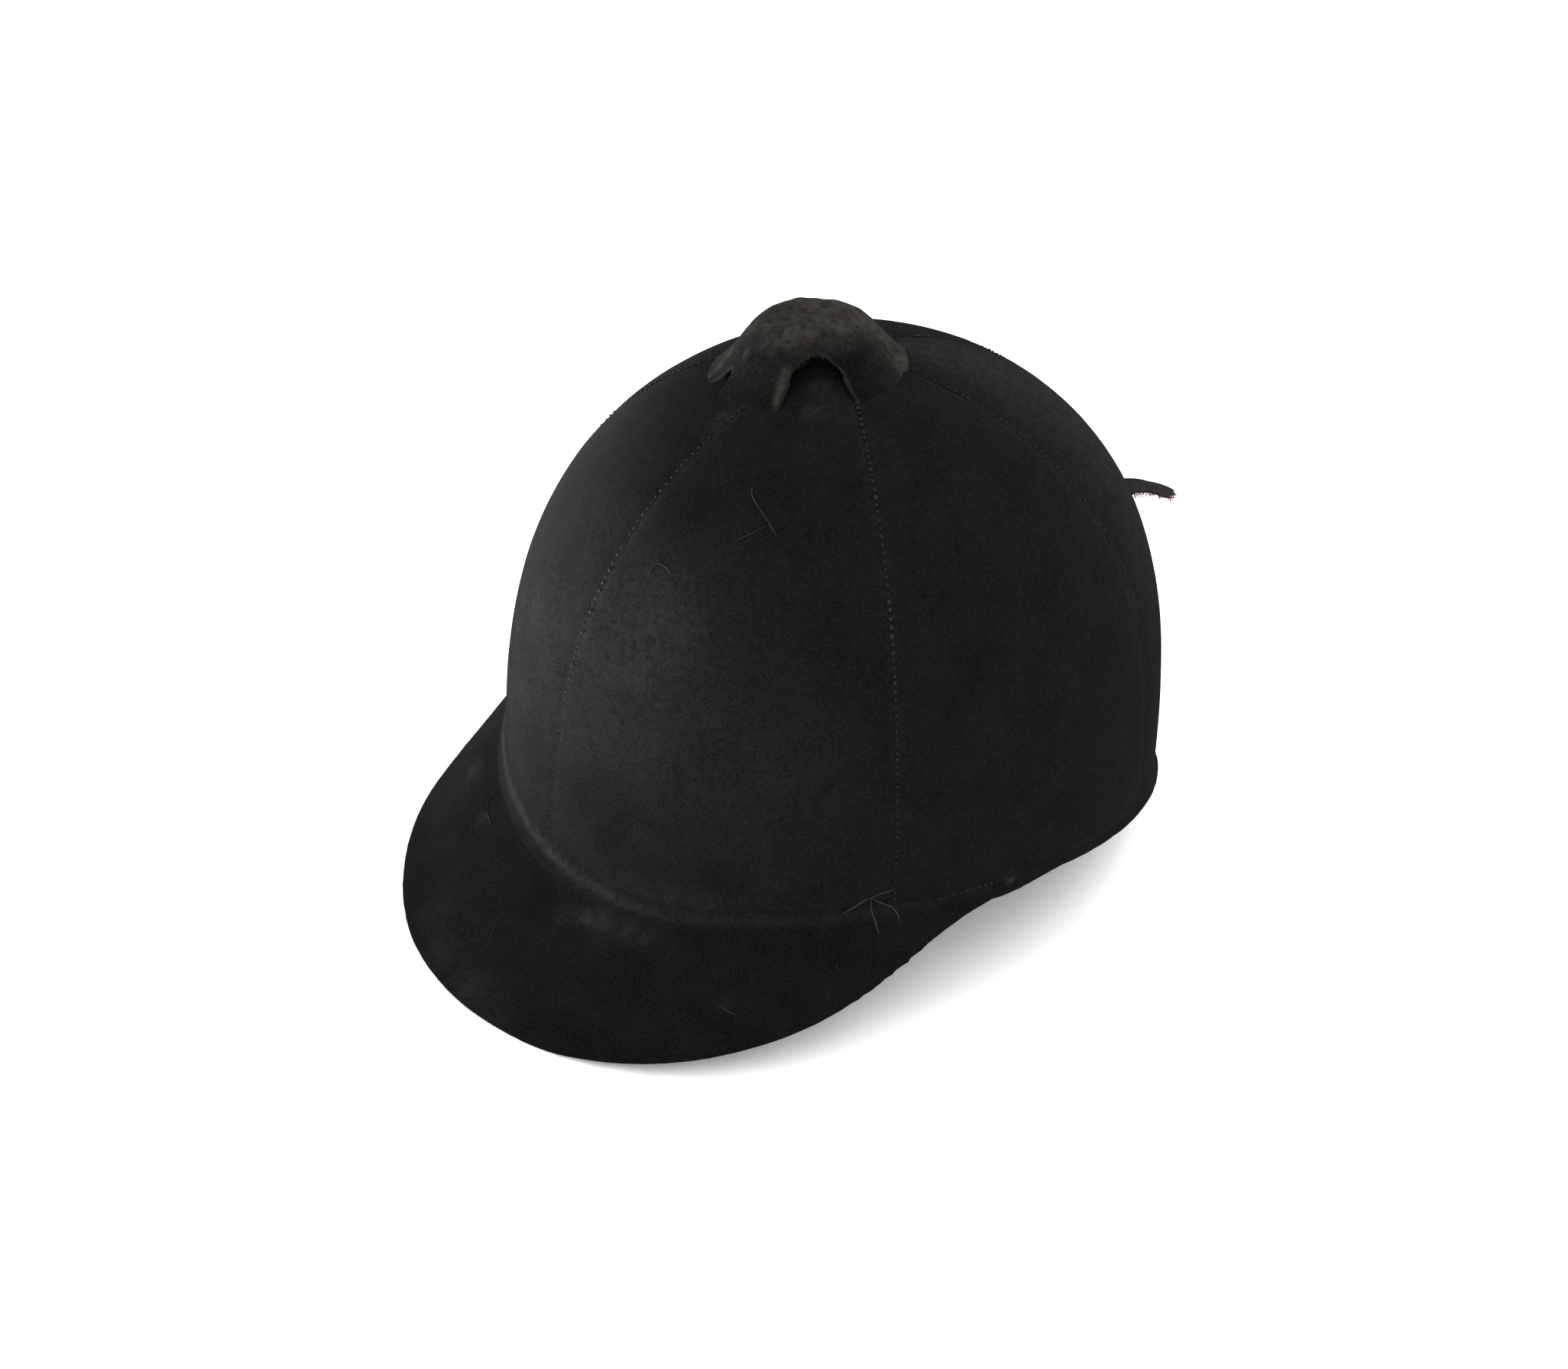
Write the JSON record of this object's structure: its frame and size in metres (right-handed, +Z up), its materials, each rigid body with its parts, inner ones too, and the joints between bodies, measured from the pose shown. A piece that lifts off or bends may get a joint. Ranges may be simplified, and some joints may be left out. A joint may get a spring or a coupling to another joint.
{
  "type": "riding hat",
  "caption": "Velvet riding hat with a stiff sewn crown, a drooping peak, a rim binding and a vented button, open below for the head",
  "frame": {"origin": "on the surface that the hat rests on, under the middle of its outline from the peak's edge to the back of the rim", "axes": "+Z up; the peak points to -Y; +X is the wearer's left"},
  "size_m": [0.203, 0.2678, 0.1866],
  "materials": {
    "crown_velvet": "black velvet pile",
    "peak_velvet": "black velvet pile, rubbed",
    "binding_velvet": "black velvet pile",
    "button_velvet": "velvet faded to olive brown",
    "tab_velvet": "black velvet with a torn edge"
  },
  "bodies": {
    "root": {"crown_front_left": "crown_velvet", "crown_side_left": "crown_velvet", "crown_back_left": "crown_velvet", "crown_back_right": "crown_velvet", "crown_side_right": "crown_velvet", "crown_front_right": "crown_velvet", "peak": "peak_velvet", "rim_binding": "binding_velvet", "top_button": "button_velvet", "back_tab": "tab_velvet"}
  },
  "joints": []
}
